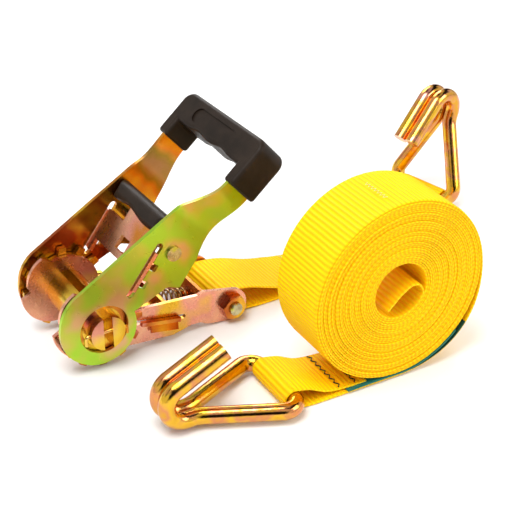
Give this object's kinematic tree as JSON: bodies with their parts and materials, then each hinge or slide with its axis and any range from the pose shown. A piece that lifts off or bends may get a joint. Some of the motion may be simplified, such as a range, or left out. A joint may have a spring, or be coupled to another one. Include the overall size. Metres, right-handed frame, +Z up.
{
  "type": "ratchet tie down",
  "caption": "Lever ratchet with a slotted spool, sprung pawls and black grip, a short hooked strap, and a rolled yellow webbing strap ending in a double J hook.",
  "frame": {"origin": "on the ground under the middle of the whole object's box", "axes": "+Z up, +X from the ratchet's hub towards its anchor bolt, -Y the side the roll lies on"},
  "size_m": [0.4154, 0.2506, 0.151],
  "materials": {
    "zinc_frame": "yellow passivated zinc, pink cast",
    "zinc_handle": "yellow passivated zinc, green cast",
    "zinc_gold": "yellow passivated zinc, gold cast",
    "zinc_hook": "yellow passivated zinc on drawn wire, glossy",
    "spring_wire": "plated spring wire",
    "black_grip": "satin moulded plastic",
    "webbing": "woven polyester"
  },
  "bodies": {
    "base": {"frame_plate_near": "zinc_frame", "frame_plate_far": "zinc_frame", "frame_tie_plate": "zinc_frame", "anchor_bolt": "zinc_gold", "anchor_nut": "zinc_gold", "anchor_sleeve": "zinc_gold", "lock_spring": "spring_wire", "short_strap": "webbing"},
    "spool": {"spool_half_front": "zinc_gold", "spool_half_rear": "zinc_gold", "ratchet_wheel_near": "zinc_gold", "ratchet_wheel_far": "zinc_gold", "split_pin_near": "zinc_gold", "split_pin_far": "zinc_gold"},
    "handle": {"handle_plate_near": "zinc_handle", "handle_plate_far": "zinc_handle", "handle_cross_bar": "zinc_gold", "handle_grip": "black_grip", "handle_cross_pin": "zinc_gold", "drive_spring": "spring_wire"},
    "drive_pawl": {"drive_pawl_plate": "zinc_frame", "finger_pull": "black_grip"},
    "lock_pawl": {"lock_pawl": "zinc_frame"},
    "short_hook": {"short_strap_hook": "zinc_hook"},
    "long_strap": {"strap_roll": "webbing", "strap_tail": "webbing"},
    "long_hook": {"long_strap_hook": "zinc_hook"}
  },
  "joints": [
    {"name": "spool_turn", "type": "hinge", "parent": "base", "child": "spool", "pos_m": [-0.17321, 0.03722, 0.0322], "axis": [0, -1, 0], "continuous": true},
    {"name": "handle_swing", "type": "hinge", "parent": "base", "child": "handle", "pos_m": [-0.17321, 0.03722, 0.0322], "axis": [0, -1, 0], "range_deg": [-30, 120]},
    {"name": "drive_pawl_slide", "type": "slide", "parent": "handle", "child": "drive_pawl", "axis": [0.6101, 0, 0.7923], "range_m": [-0.005, 0.005], "stiffness_N_per_m": 900, "deforming": ["drive_spring"]},
    {"name": "lock_pawl_slide", "type": "slide", "parent": "base", "child": "lock_pawl", "axis": [0.9842, 0, -0.177], "range_m": [-0.005, 0.005], "stiffness_N_per_m": 600, "deforming": ["lock_spring"]},
    {"name": "short_hook_swing", "type": "hinge", "parent": "base", "child": "short_hook", "pos_m": [0.17518, 0.08858, 0.00835], "axis": [0.2079, -0.9781, 0], "range_deg": [-66, 30]},
    {"name": "roll_lift", "type": "slide", "parent": "base", "child": "long_strap", "axis": [0, 0, 1], "range_m": [0, 0.15]},
    {"name": "long_hook_swing", "type": "hinge", "parent": "long_strap", "child": "long_hook", "pos_m": [-0.08616, -0.08895, 0.00835], "axis": [0.0349, 0.9994, 0], "range_deg": [0, 45]}
  ]
}
